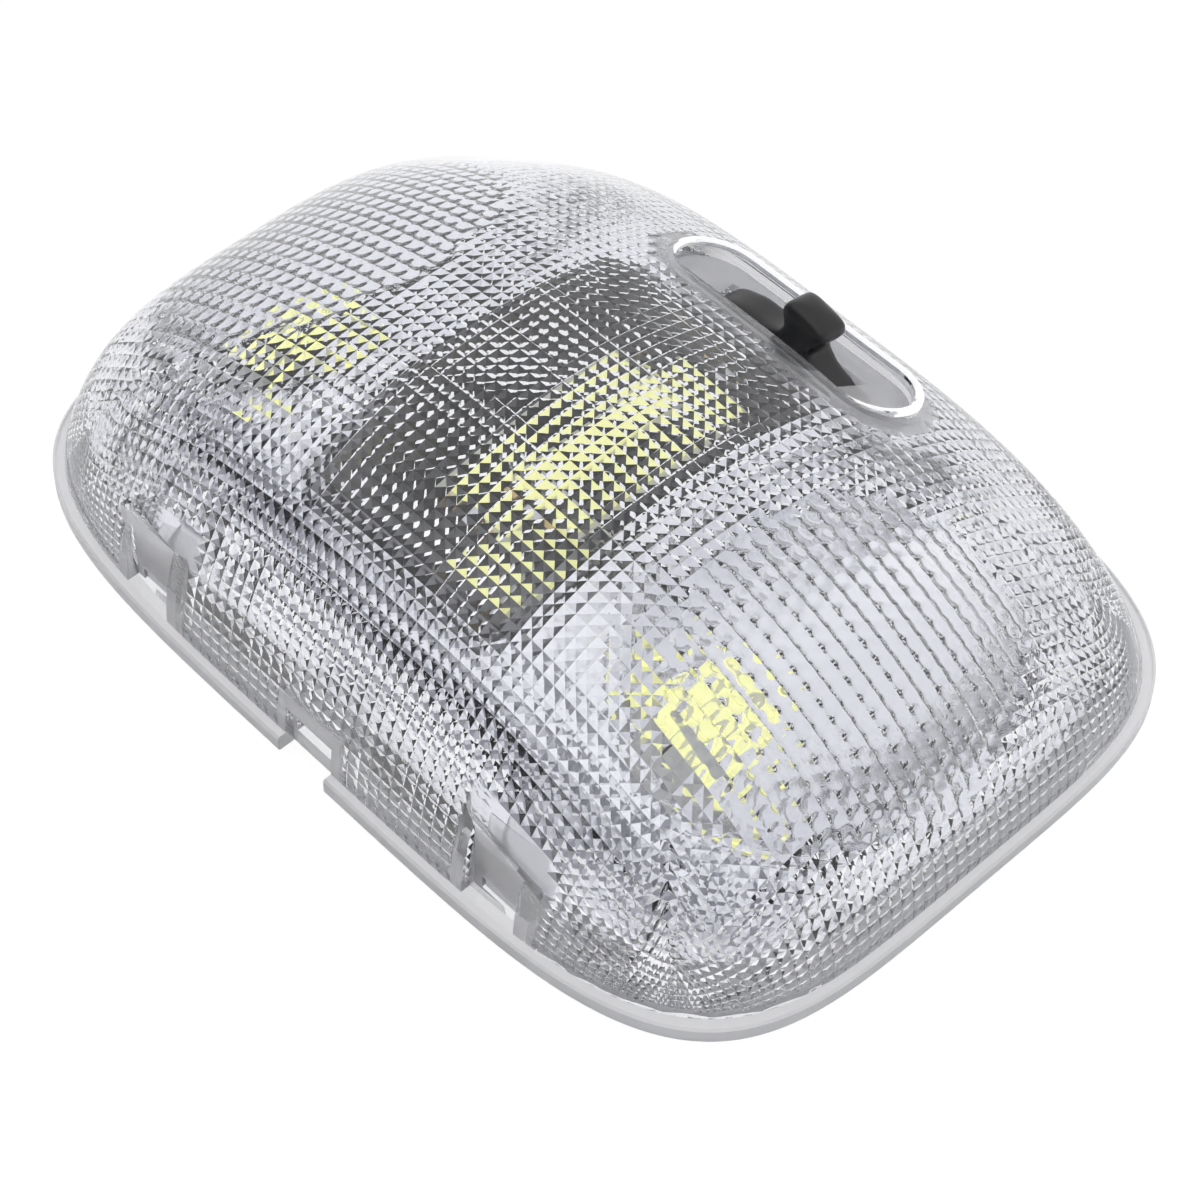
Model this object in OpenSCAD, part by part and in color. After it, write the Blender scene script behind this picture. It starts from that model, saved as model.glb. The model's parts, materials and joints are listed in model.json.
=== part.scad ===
// Car dome light: clear prismatic lens over a metallised reflector, three lamps and a lever switch.
// It stands on its roof-side face, lens up. X runs along the lamp, -Y is the edge with the snap windows.

/* [Lens] */
// Overall length of the lens
lens_l = 160; // [150:1:180]
// Overall width of the lens
lens_w = 115; // [108:1:125]
// Overall height of the lens
lens_h = 45; // [42:0.5:52]
// Wall thickness of the lens
lens_wall = 2.4; // [1.8:0.1:3]
// How far the rim flange stands out from the dome
rim_out = 1.5; // [0.8:0.1:2.5]
// Height of the rim flange
rim_h = 3; // [2:0.25:4]
// Squareness of the outline at the rim
plan_power = 4.46; // [3.5:0.02:5.5]
// Squareness of the level curves near the crown
crown_power = 2.68; // [2:0.02:3.4]
// How sharply the dome falls off near the edge
shoulder_power = 1.92; // [1.7:0.02:2.3]
// Roundness of the dome's shoulder
shoulder_round = 2.33; // [1.9:0.01:2.8]
// How far the crown leans towards the window edge
crown_lean = 0.18; // [0:0.01:0.25]
// Depth of the prisms on the inner face, kept free under the lens
prism_depth = 1.4; // [0.8:0.1:2]

/* [Snap windows and pry notch] */
// Distance from the end of the lens to the middle of a snap window
window_inset = 42.5; // [38:0.5:48]
// Width of a snap window
window_w = 10; // [8:0.5:14]
// Depth of a snap window, measured in from the rim's outer face
window_depth = 4.5; // [4:0.1:5]
// Thickness of the wall at the back of a window
window_wall = 1.8; // [1.4:0.1:2.2]
// Width of the snap slot in that wall
snap_slot_w = 7.2; // [5:0.1:7.5]
// Height of the snap slot
snap_slot_h = 2.5; // [2:0.1:3.5]
// Width of the pry notch in the rim
notch_w = 10; // [8:0.5:14]
// Depth of the pry notch
notch_depth = 3; // [2:0.1:3.2]
// Height of the pry notch
notch_h = 8.5; // [6:0.5:9]

/* [Base housing] */
// Clearance between the base and the inside of the lens
base_gap = 0.4; // [0.3:0.05:0.8]
// Thickness of the base floor
floor_t = 2; // [1.6:0.1:3]
// How far the seat wall is set in from the edge of the floor
seat_inset = 2.2; // [2:0.1:2.6]
// Thickness of the seat wall
seat_wall = 2; // [1.5:0.1:3]
// Height of the seat wall that carries the reflector
seat_h = 6; // [5.8:0.1:7]
// Distance from a side lamp to the mounting holes beside it, along the lamp
mount_room = 12; // [11.5:0.5:14]
// Distance of the mounting holes from the long edges of the lens
mount_inset_y = 21.5; // [20:0.5:23]
// Radius of a mounting hole
mount_r = 2.2; // [1.6:0.1:2.8]
// Radius of a mounting boss
mount_boss_r = 5; // [4:0.1:6]
// Height of a mounting boss
mount_boss_h = 4.5; // [3:0.1:5]
// Length of the connector recess
plug_l = 16; // [12:0.5:18]
// Width of the connector recess
plug_w = 7; // [6:0.2:7.4]
// Depth of the connector recess
plug_h = 11; // [10:0.5:12]
// Wall round the connector recess
plug_wall = 1.2; // [1:0.1:1.4]
// Distance of the connector's middle from the inside of the lens
plug_inset = 10.4; // [10.2:0.1:10.8]

/* [Reflector] */
// Vertical thickness of the reflector
reflector_t = 1.8; // [1.4:0.1:2.4]
// Air between the prisms and the reflector
reflector_air = 4.2; // [3:0.1:5]
// Squareness of the reflector's outline, rounder at the corners than the lens
reflector_power = 4; // [3.8:0.02:4.3]
// How far the reflector's edge is set in from the outside of the seat wall
reflector_inset = 0.4; // [0.3:0.1:0.8]
// Width of the rib between the tray and a bowl
bowl_rib = 3.5; // [2:0.5:5]
// Offset of the bowls towards the switch edge
bowl_y = 3.6; // [2:0.2:5]
// How far a bowl's outline runs past the end of the reflector
bowl_past = 0.4; // [0:0.1:1]
// Width of the deck kept beside a bowl, on average of both sides
bowl_room = 12.6; // [11.6:0.1:16]
// Height of a bowl's bottom
bowl_z = 9; // [8.5:0.1:12]
// How flat the bottom of a bowl is
bowl_power = 4; // [2:0.5:6]
// Squareness of a bowl's outline
bowl_square = 2.3; // [2:0.1:3]

/* [Centre tray and lamp] */
// Width of the centre tray
tray_w = 42; // [38:0.5:43]
// Distance from the front of the reflector to the tray
tray_front_room = 13.6; // [13.4:0.1:16]
// Distance from the tray to the lever's pivot
tray_back_room = 6.25; // [6.15:0.05:6.6]
// Wall of the tray
tray_wall = 1.5; // [1.2:0.1:2]
// Corner radius of the tray
tray_r = 5; // [3:0.5:8]
// Height of the tray's underside over the roof face
tray_z = 10; // [9:0.1:11]
// Gap round the tray in the reflector
tray_gap = 0.3; // [0.2:0.05:0.6]
// Distance from the front of the tray to the centre lamp's end
lamp_front_room = 14; // [6:0.5:18]
// Width of the centre lamp's board
board_w = 15; // [10:0.5:20]
// Thickness of the centre lamp's board
board_t = 1.6; // [1:0.1:2]
// Gap between the centre lamp's end and the back of the tray
lamp_gap = 0.8; // [0.5:0.1:2]
// Height of the centre lamp's axis
lamp_axis_z = 16.5; // [15.6:0.1:20]
// Radius of the centre lamp's end caps
cap_r = 3.4; // [2.8:0.1:4]
// Length of an end cap
cap_l = 4; // [3.2:0.1:4]
// Thickness of the glowing layer on the board
glow_t = 1; // [0.6:0.1:1.4]
// Bare edge left round the glowing layer
glow_edge = 1; // [0.5:0.1:2]
// Thickness of a spring clip
clip_t = 1; // [0.6:0.1:1.4]
// Radius of a tray screw's shank
screw_r = 1.2; // [1:0.05:1.5]
// Radius of a tray screw's head
screw_head_r = 2.4; // [2:0.1:3]
// Height of a tray screw's head
screw_head_h = 1.4; // [1:0.1:1.8]

/* [Side lamps] */
// Offset of a side lamp from the middle of its bowl, towards the tray
side_lamp_shift = 5; // [3:0.5:6]
// Distance from a side lamp's head to the strip behind its socket
side_lamp_room = 13.5; // [13:0.1:14]
// Height of a side lamp's head
side_lamp_z = 20; // [19:0.5:21]
// How steeply a side lamp points up
side_lamp_tilt = 20; // [16:1:24]
// Side of a side lamp's square head
head_w = 9; // [7:0.1:9.5]
// Length of a side lamp's head
head_l = 11; // [10:0.5:12.5]
// Side of one light chip
chip_w = 3; // [2:0.1:3.4]
// Thickness of one light chip
chip_t = 0.8; // [0.5:0.1:1]
// Radius of a side lamp's socket
socket_r = 6.2; // [5:0.1:6.4]
// Length of a side lamp's socket
socket_l = 12; // [10:0.5:13]
// Clearance round a socket in the reflector
socket_gap = 0.3; // [0.2:0.05:0.5]

/* [Switch] */
// Offset of the switch from the middle, along the lamp
switch_x = 5.5; // [5.4:0.1:6.6]
// Distance of the switch well's middle from the edge of the lens
well_inset = 22.1; // [21.5:0.1:22.3]
// Depth of the well's rim under the crown line of the dome
well_sink = 1.1; // [0.8:0.1:1.4]
// Tilt of the switch well
well_tilt = 23; // [21:0.5:25]
// Half length of the well
well_half_l = 22.5; // [21.5:0.1:24]
// Half width of the well
well_half_w = 7.2; // [6.6:0.1:7.6]
// Depth of the well's floor
well_depth = 2; // [1.6:0.1:2.4]
// Thickness of the well's wall and floor
well_wall = 1.5; // [1.2:0.1:1.8]
// Radius of the bead round the well
bead_r = 0.9; // [0.6:0.1:1.2]
// Offset of the slot towards the front side of the well
slot_shift = 1; // [0.5:0.1:1.5]
// Tilt of the lever
lever_tilt = 12; // [11:0.5:12.5]
// Height of the lever's pivot over the bracket's foot
pivot_h = 8.6; // [8.2:0.1:9]
// How far the lever's wings stand out of the well's floor
wing_rise = 4; // [3.5:0.1:5]
// Thickness of the lever's wings
wing_t = 5.5; // [4:0.1:5.8]
// Width of the lever's wings
wing_w = 6.4; // [5:0.1:6.6]
// Half angle that the wings cover
wing_angle = 46; // [42:1:48]
// How far the wings dip towards the knob's foot
wing_dip = 2.6; // [1.5:0.1:2.8]
// Travel of the lever each way, in degrees
lever_travel = 10; // [8:1:13]
// Clearance between the wings and the slot
wing_gap = 0.35; // [0.3:0.05:0.5]
// Length of the finger knob, along the lamp
knob_l = 9; // [6:0.1:9.4]
// Width of the finger knob
knob_w = 6.2; // [4:0.1:6.4]
// Height of the finger knob over the wings
knob_h = 8; // [6:0.1:9.5]
// How far the knob's foot flares out at each end
knob_flare = 2.2; // [0.5:0.1:2.5]
// How far the knob's neck is drawn in under its head
knob_neck = 1.7; // [1:0.1:2]
// Radius of the pivot pin
pin_r = 1.5; // [1.2:0.05:1.8]
// Running clearance of the pivot pin
pin_gap = 0.05; // [0.03:0.01:0.08]
// Radius of the lever's hub
hub_r = 3.4; // [3:0.1:3.6]
// Width of the lever's hub
hub_w = 5; // [4.6:0.1:5.2]
// Gap between the hub and the bracket's cheeks
cheek_gap = 0.6; // [0.5:0.05:0.8]
// Thickness of a bracket cheek
cheek_t = 1.6; // [1.2:0.1:2]
// Height of the fixed contacts on a cheek
contact_h = 3; // [2:0.1:3.4]
// Bare edge of the cheek over and under the contacts
contact_room = 0.8; // [0.6:0.1:1]
// Half length of the bracket, along the lamp
foot_half_l = 7; // [6:0.2:8]
// Thickness of the bracket's foot
bracket_t = 1.6; // [1.2:0.1:2]
// Depth of the detent nose under the pivot
nose_drop = 5.2; // [4.8:0.1:5.3]

/* [Electrical] */
// Thickness of a brass strip
strip_t = 0.6; // [0.4:0.05:0.8]
// Width of a brass strip
strip_w = 2.5; // [1.5:0.1:2.6]
// Width of a connector pin
pin_w = 2; // [1.6:0.1:2.2]
// Thickness of a connector pin
pin_t = 0.8; // [0.6:0.05:1]
// Spacing of the connector pins
pin_pitch = 5; // [4.5:0.1:5.2]
// Clearance round a connector pin
pin_slot_gap = 0.1; // [0.05:0.05:0.2]

/* [Hidden] */

// Smoothness of round parts, and a cut's overshoot
$fn = 48;
eps = 0.01;
over = 1;

// Facets of the dome: points round a ring, rings outside and inside
ring_n = 80;
outer_rings = 20;
inner_rings = 14;
// Points up each end of the knob, and along half of the wings
knob_n = 24;
wing_n = 23;
// Height of the dome's edge, and how late the outline turns square
edge_z = 1;
square_blend = 12;
// How late the lean of the crown dies away towards the edge
lean_fade = 16;
// Grid of the reflector
grid_x = 48;
grid_y = 34;
// Share of the width at which the reflector's straight ends are cut
grid_end = 0.965;

// Half sizes of the dome outside and inside, of the base floor, its seat wall and the reflector
dome_a = lens_l / 2 - rim_out;
dome_b = lens_w / 2 - rim_out;
inner_a = dome_a - lens_wall;
inner_b = dome_b - lens_wall;
inner_h = lens_h - lens_wall;
base_a = inner_a - base_gap;
base_b = inner_b - base_gap;
seat_a = base_a - seat_inset;
seat_b = base_b - seat_inset;
reflector_a = seat_a - reflector_inset;
reflector_b = seat_b - reflector_inset;
deck_h = inner_h - prism_depth - reflector_air;
deck_edge_z = seat_h + reflector_t;

// Windows of the lens stand this far off its edges, and the notch has a wall of this thickness
skin_gap = 0.3;
notch_wall = 2;

// Switch well, and the lever's pivot under it
well_y = lens_w / 2 - well_inset;
well_z = dome_z(0, well_y, dome_a, dome_b, lens_h) - well_sink;
slot_y = well_y - slot_shift * cos(well_tilt) - well_depth * sin(well_tilt);
slot_z = well_z + slot_shift * sin(well_tilt) - well_depth * cos(well_tilt);
pivot_z = floor_t + bracket_t + pivot_h;
pivot_drop = (slot_z - pivot_z) / cos(lever_tilt);
pivot_y = slot_y - pivot_drop * sin(lever_tilt);

// Tray and the centre lamp in it
tray_floor_z = tray_z + tray_wall;
tray_front = reflector_b - tray_front_room;
tray_back = pivot_y - tray_back_room;
board_l = tray_front + tray_back - 2 * tray_wall - 2 * cap_l - lamp_front_room - lamp_gap;
lamp_mid_y = tray_back - tray_wall - lamp_gap - cap_l - board_l / 2;
cap_straight = cap_l * 0.7;
cap_tip_r = cap_r * 0.45;
clip_lip = 0.6;
clip_mouth = cap_r * 1.6;
post_r = 3.2;
post_inset = 5;
thread_gap = 0.05;
cross_w = 0.6;

// Bowls and side lamps along the lamp
bowl_in = tray_w / 2 + bowl_rib;
bowl_out = reflector_a + bowl_past;
bowl_x = (bowl_in + bowl_out) / 2;
bowl_a = (bowl_out - bowl_in) / 2;
bowl_b = reflector_b - bowl_room;
side_lamp_x = bowl_x - side_lamp_shift;

// Windows, notch and hooks
window_x = lens_l / 2 - window_inset;
window_y = -(lens_w / 2 - window_depth);
window_back_y = window_y + window_wall;
window_side = 2.5;
window_top = dome_z(window_x + window_w / 2 + window_side, window_y, dome_a, dome_b, lens_h) - skin_gap;
notch_y = -(lens_w / 2 - notch_depth);
notch_back_y = notch_y + notch_wall;
notch_side = 1.5;
notch_lip = 1;
hook_gap = 0.3;
hook_reach = 1.4;
edge_gap = 0.3;
finger_slit = 1;

// Lever: its wings and the slot for them in the reflector
wing_r = pivot_drop + wing_rise;
swing_gap = 1.2;
swing_angle = wing_angle + lever_travel + 2;
cheek_h = hub_r + contact_h + 2 * contact_room;
arm_half_l = 2;
arm_half_w = 2;
cheek_in = hub_w / 2 + cheek_gap;
cheek_out = cheek_in + cheek_t;
knob_root = wing_r - wing_t * 0.9;
knob_top = wing_r - wing_dip + knob_h;
neck_at = 0.25;
head_at = 0.72;
// The lever is shown at the +X end of its travel
lever_rest = lever_travel;
knob_side_dome = knob_w / 4;
pin_end = 0.3;
foot_front = -9;
foot_back = 9;
foot_lip = 0.5;
cheek_half_l = foot_half_l - foot_lip;
pocket_gap = 0.5;
nose_root = hub_r * 0.6;
nose_tip = 0.4;
detent_gap = 0.25;
detent_depth = 0.2;
detent_spread = 38;
spring_t = 0.4;
spring_w = 4;
contact_pitch = 2.1;
contact_w = 1.4;
contact_t = 0.5;
wiper_t = 0.4;
wiper_half_l = 1.4;

// Connector, and the brass work on the base floor
plug_y = inner_b - plug_inset;
plug_out_l = plug_l + 2 * plug_wall;
plug_out_w = plug_w + 2 * plug_wall;
plug_top = plug_h + plug_wall;
riser_room = 2;
strip_pitch = 4.5;
supply_y = -plug_y + plug_out_w / 2 + riser_room;
return_y = supply_y + strip_pitch;
side_lamp_y = -return_y - side_lamp_room;
strip_reach = side_lamp_x + socket_r / 2;

// Mounting holes and tray screws
mount_dx = 2 * (side_lamp_x + mount_room);
mount_dy = lens_w - 2 * mount_inset_y;
screw_x = tray_w / 2 - post_inset;
post_front_room = 5.5;
post_back_room = 7.8;
screw_front = return_y + post_front_room;
screw_back = tray_back - post_back_room;
screw_at = [[-screw_x, screw_front], [screw_x, screw_front], [-screw_x, screw_back], [screw_x, screw_back]];
pin_tip_z = 6;
pin_rise = 1.6;
riser_gap = 0.4;
strip_gap = 0.5;

// Radius of the outline in a direction, for half sizes a and b
function outline_r(a, b, t) =
    pow(pow(abs(cos(t)) / a, plan_power) + pow(abs(sin(t)) / b, plan_power), -1 / plan_power);

function outline(a, b) = [
    for (i = [0:ring_n - 1])
        let (t = 360 * i / ring_n, r = outline_r(a, b, t))
        [r * cos(t), r * sin(t)]
];

function blend_power(r) = crown_power + (plan_power - crown_power) * pow(min(r, 1), square_blend);

function norm_r(x, y, p) = pow(pow(x, p) + pow(y, p) + 1e-12, 1 / p);

// Height of a dome with half sizes a and b and crown height h
function dome_z(x, y, a, b, h) =
    let (
        u = min(abs(x) / a, 1),
        v0 = max(-1, min(1, y / b)),
        fade = 1 - pow(min(1, norm_r(u, abs(v0), plan_power)), lean_fade),
        v = abs(v0 + crown_lean * fade * (1 - v0 * v0)),
        r = min(1, norm_r(u, v, blend_power(norm_r(u, v, plan_power))))
    )
    edge_z + (h - edge_z) * pow(max(0, 1 - pow(r, shoulder_power)), 1 / shoulder_round);

function dome_ring(a, b, h, s, low) = [
    for (i = [0:ring_n - 1])
        let (t = 360 * i / ring_n, r = s * outline_r(a, b, t), x = r * cos(t), y = r * sin(t))
        [x, y, max(low, dome_z(x, y, a, b, h))]
];

function flat_ring(a, b, z) = [for (p = outline(a, b)) [p[0], p[1], z]];

// Rings of a dome from near the crown to its edge
function dome_rings(a, b, h, n, low) = [for (k = [1:n]) dome_ring(a, b, h, sin(90 * k / n), low)];

function reversed(list) = [for (i = [len(list) - 1:-1:0]) list[i]];

function joined(rings) = [for (ring = rings) for (p = ring) p];

// Closed skin through a stack of rings, from a top point to a bottom point
module ring_skin(top, rings, bottom) {
    n = ring_n;
    count = len(rings);
    points = concat([top], joined(rings), [bottom]);
    last = len(points) - 1;
    tail = 1 + (count - 1) * n;
    faces = concat(
        [for (i = [0:n - 1]) [0, 1 + (i + 1) % n, 1 + i]],
        [for (k = [0:count - 2]) for (i = [0:n - 1])
            let (a = 1 + k * n + i, b = 1 + k * n + (i + 1) % n) [a, b, b + n]],
        [for (k = [0:count - 2]) for (i = [0:n - 1])
            let (a = 1 + k * n + i, b = 1 + k * n + (i + 1) % n) [a, b + n, a + n]],
        [for (i = [0:n - 1]) [last, tail + i, tail + (i + 1) % n]]
    );
    polyhedron(points = points, faces = faces, convexity = 4);
}

// Stadium with its long side along X
module stadium(half_l, half_w) {
    square([2 * (half_l - half_w), 2 * half_w], center = true);
    for (s = [-1, 1]) translate([s * (half_l - half_w), 0]) circle(half_w);
}

module rounded_rect(x0, x1, y0, y1, r) {
    translate([x0 + r, y0]) square([x1 - x0 - 2 * r, y1 - y0]);
    translate([x0, y0 + r]) square([x1 - x0, y1 - y0 - 2 * r]);
    for (x = [x0 + r, x1 - r]) for (y = [y0 + r, y1 - r]) translate([x, y]) circle(r);
}

// Frame of the switch well: its top plane, X along the lamp, Z out of the well
module in_well() {
    translate([switch_x, well_y, well_z]) rotate([-well_tilt, 0, 0]) children();
}

// Frame of the lever: origin on the pivot, Y along the pivot axis, Z towards the knob
module at_pivot() {
    translate([switch_x, pivot_y, pivot_z]) rotate([-lever_tilt, 0, 0]) children();
}

// Frame of the lever in the position that it is shown in
module at_lever() {
    at_pivot() rotate([0, lever_rest, 0]) children();
}

module along_pivot() {
    rotate([-90, 0, 0]) children();
}

// Frame of a side lamp: Z along the lamp, origin in the middle of its head
module at_side_lamp(side) {
    translate([side * side_lamp_x, -side_lamp_y, side_lamp_z]) rotate([side_lamp_tilt - 90, 0, 0]) children();
}

module lens_shell() {
    ring_skin(
        [0, 0, dome_z(0, 0, dome_a, dome_b, lens_h)],
        concat(
            dome_rings(dome_a, dome_b, lens_h, outer_rings, rim_h),
            [flat_ring(lens_l / 2, lens_w / 2, rim_h), flat_ring(lens_l / 2, lens_w / 2, 0),
             flat_ring(inner_a, inner_b, 0)],
            reversed(dome_rings(inner_a, inner_b, inner_h, inner_rings, edge_z))
        ),
        [0, 0, dome_z(0, 0, inner_a, inner_b, inner_h)]
    );
}

module window_cuts() {
    for (s = [-1, 1]) translate([s * window_x, 0, 0]) {
        translate([-window_w / 2, window_y - 2 * window_depth, rim_h])
            cube([window_w, 2 * window_depth, lens_h]);
        translate([-snap_slot_w / 2, window_y - over, rim_h])
            cube([snap_slot_w, window_wall + 2 * over, snap_slot_h]);
    }
    translate([-notch_w / 2, notch_y - 2 * notch_depth, -over])
        cube([notch_w, 2 * notch_depth, notch_h + over]);
    translate([-notch_w / 2 + notch_lip, notch_y - over, rim_h + hook_gap])
        cube([notch_w - 2 * notch_lip, notch_wall + 2 * over, notch_h - rim_h - 2 * notch_lip]);
}

module window_walls() {
    for (s = [-1, 1])
        translate([s * window_x - window_w / 2 - window_side, window_y, 0])
            cube([window_w + 2 * window_side, window_wall, window_top]);
    translate([-notch_w / 2 - notch_side, notch_y + eps, 0])
        cube([notch_w + 2 * notch_side, notch_wall, notch_h + 2 * notch_lip]);
}

module bead() {
    for (s = [-1, 1]) {
        translate([s * (well_half_l - well_half_w), 0, 0])
            rotate([0, 0, -90 * s])
            rotate_extrude(angle = 180)
            translate([well_half_w + well_wall / 2, 0]) circle(bead_r, $fn = 16);
        translate([0, s * (well_half_w + well_wall / 2), 0])
            rotate([0, 90, 0])
            cylinder(r = bead_r, h = 2 * (well_half_l - well_half_w), center = true, $fn = 16);
    }
}

module well_cup() {
    in_well() {
        difference() {
            translate([0, 0, -well_depth - well_wall])
                linear_extrude(well_depth + well_wall)
                stadium(well_half_l + well_wall, well_half_w + well_wall);
            translate([0, 0, -well_depth])
                linear_extrude(well_depth + over) stadium(well_half_l, well_half_w);
        }
        bead();
    }
}

// Slot that the wings sweep through, with their clearance
module wing_slot() {
    at_pivot() along_pivot()
        cylinder(r = wing_r + wing_gap, h = wing_w + 2 * wing_gap, center = true, $fn = 96);
}

module lens() {
    color([0.86, 0.87, 0.89, 0.55])
    difference() {
        union() {
            difference() {
                lens_shell();
                in_well() translate([0, 0, -2 * lens_wall - well_depth])
                    linear_extrude(4 * lens_wall + 2 * well_depth)
                    stadium(well_half_l + well_wall / 2, well_half_w + well_wall / 2);
            }
            well_cup();
            window_walls();
        }
        window_cuts();
        wing_slot();
    }
}

module base_floor() {
    difference() {
        linear_extrude(floor_t) polygon(outline(base_a, base_b));
        for (s = [-1, 1])
            translate([s * window_x - window_w / 2 - window_side - edge_gap, -lens_w, -over])
                cube([window_w + 2 * (window_side + edge_gap), lens_w + window_back_y + edge_gap,
                      floor_t + 2 * over]);
        translate([-notch_w / 2 - notch_side - edge_gap, -lens_w, -over])
            cube([notch_w + 2 * (notch_side + edge_gap), lens_w + notch_back_y + edge_gap,
                  floor_t + 2 * over]);
    }
}

module seat_ring() {
    translate([0, 0, floor_t - eps]) linear_extrude(seat_h - floor_t + eps) difference() {
        polygon(outline(seat_a, seat_b));
        polygon(outline(seat_a - seat_wall, seat_b - seat_wall));
    }
}

// Nose of a snap finger, reaching into the slot of a window
module hook() {
    translate([-snap_slot_w / 2 + hook_gap, window_back_y - hook_reach, rim_h + hook_gap])
        cube([snap_slot_w - 2 * hook_gap, seat_wall + hook_reach, snap_slot_h - 2 * hook_gap]);
}

module finger_slits() {
    for (w = [-1, 1])
        translate([w * (snap_slot_w / 2 + finger_slit) - finger_slit / 2, -seat_b - over, floor_t + over / 2])
            cube([finger_slit, seat_wall + 4 * over, seat_h]);
}

module plug_walls() {
    translate([-plug_out_l / 2, -plug_y - plug_out_w / 2, 0]) cube([plug_out_l, plug_out_w, plug_top]);
}

module plug_hollow() {
    translate([-plug_l / 2, -plug_y - plug_w / 2, -over]) cube([plug_l, plug_w, plug_h + over]);
    for (k = [-1:1])
        translate([k * pin_pitch, -plug_y, plug_top])
            cube([pin_w + 2 * pin_slot_gap, pin_t + 2 * pin_slot_gap, 2 * plug_top], center = true);
}

module base_housing() {
    color([0.80, 0.81, 0.82])
    difference() {
        union() {
            base_floor();
            seat_ring();
            for (s = [-1, 1]) translate([s * window_x, 0, 0]) hook();
            for (x = [-1, 1]) for (y = [-1, 1])
                translate([x * mount_dx / 2, y * mount_dy / 2, 0])
                    cylinder(r = mount_boss_r, h = mount_boss_h);
            for (p = screw_at) translate([p[0], p[1], 0]) cylinder(r = post_r, h = tray_z);
            plug_walls();
        }
        for (s = [-1, 1]) translate([s * window_x, 0, 0]) finger_slits();
        for (x = [-1, 1]) for (y = [-1, 1])
            translate([x * mount_dx / 2, y * mount_dy / 2, -over])
                cylinder(r = mount_r, h = mount_boss_h + 2 * over);
        for (p = screw_at) translate([p[0], p[1], floor_t])
            cylinder(r = screw_r + thread_gap, h = tray_z);
        plug_hollow();
    }
}

function deck_z(x, y) = max(deck_edge_z, dome_z(x, y, reflector_a, reflector_b, deck_h));

function bowl_rho(x, y) = norm_r(abs(abs(x) - bowl_x) / bowl_a, abs(y - bowl_y) / bowl_b, bowl_square);

// Top face of the reflector: the deck, dished into a bowl at each end
function reflector_z(x, y) =
    let (rho = min(1, bowl_rho(x, y)), deck = deck_z(x, y))
    min(deck, bowl_z) + max(0, deck - bowl_z) * pow(rho, bowl_power);

// Even steps from -1 to 1, drawn closer towards the ends
function spread(i, n) = let (t = 2 * i / n - 1) 0.75 * t + 0.25 * sin(90 * t);

function grid_point(i, j, drop) =
    let (
        v = grid_end * spread(j, grid_y),
        y = reflector_b * v,
        x = reflector_a * spread(i, grid_x) * pow(1 - pow(abs(v), reflector_power), 1 / reflector_power)
    )
    [x, y, reflector_z(x, y) - drop];

module reflector_skin() {
    nx = grid_x + 1;
    layer = nx * (grid_y + 1);
    points = [for (drop = [0, reflector_t]) for (j = [0:grid_y]) for (i = [0:grid_x]) grid_point(i, j, drop)];
    cells = [for (j = [0:grid_y - 1]) for (i = [0:grid_x - 1]) j * nx + i];
    rim = concat(
        [for (i = [0:grid_x - 1]) i],
        [for (j = [0:grid_y - 1]) j * nx + grid_x],
        [for (i = [grid_x:-1:1]) grid_y * nx + i],
        [for (j = [grid_y:-1:1]) j * nx]
    );
    m = len(rim);
    faces = concat(
        [for (c = cells) [c, c + nx, c + nx + 1]],
        [for (c = cells) [c, c + nx + 1, c + 1]],
        [for (c = cells) [c + layer, c + layer + nx + 1, c + layer + nx]],
        [for (c = cells) [c + layer, c + layer + 1, c + layer + nx + 1]],
        [for (k = [0:m - 1]) [rim[k], rim[(k + 1) % m], rim[(k + 1) % m] + layer]],
        [for (k = [0:m - 1]) [rim[k], rim[(k + 1) % m] + layer, rim[k] + layer]]
    );
    polyhedron(points = points, faces = faces, convexity = 6);
}

// Room that the wings sweep, and room round the bracket's cheeks
module switch_room() {
    at_pivot() {
        along_pivot() rotate([0, 0, -90 - swing_angle])
            rotate_extrude(angle = 2 * swing_angle, $fn = 96)
            translate([0, -wing_w / 2 - swing_gap]) square([wing_r + swing_gap, wing_w + 2 * swing_gap]);
        translate([-cheek_half_l - pocket_gap, -cheek_out - pocket_gap, 0])
            cube([2 * (cheek_half_l + pocket_gap), 2 * (cheek_out + pocket_gap), cheek_h + pocket_gap]);
    }
}

// Room round the connector, under the reflector's front edge
module plug_room() {
    translate([-plug_out_l / 2 - pocket_gap, -plug_y - plug_out_w / 2 - pocket_gap, 0])
        cube([plug_out_l + 2 * pocket_gap, plug_out_w + 2 * pocket_gap, plug_top + strip_t + pocket_gap]);
}

module reflector() {
    color([0.83, 0.84, 0.86])
    difference() {
        reflector_skin();
        translate([0, 0, seat_h]) linear_extrude(lens_h)
            rounded_rect(-tray_w / 2 - tray_gap, tray_w / 2 + tray_gap,
                         -tray_front - tray_gap, tray_back + tray_gap, tray_r + tray_gap);
        for (s = [-1, 1]) at_side_lamp(s)
            translate([0, 0, -head_l / 2 - socket_l - over])
            cylinder(r = socket_r + socket_gap, h = socket_l + head_l / 2 + over);
        switch_room();
        plug_room();
    }
}

// Block under the deck, for trimming the tray to the deck's curve
module deck_block() {
    n = outer_rings / 2;
    ring_skin(
        [0, 0, dome_z(0, 0, reflector_a, reflector_b, deck_h)],
        concat(
            dome_rings(reflector_a, reflector_b, deck_h, n, deck_edge_z),
            [flat_ring(reflector_a, reflector_b, 0)]
        ),
        [0, 0, 0]
    );
}

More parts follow.
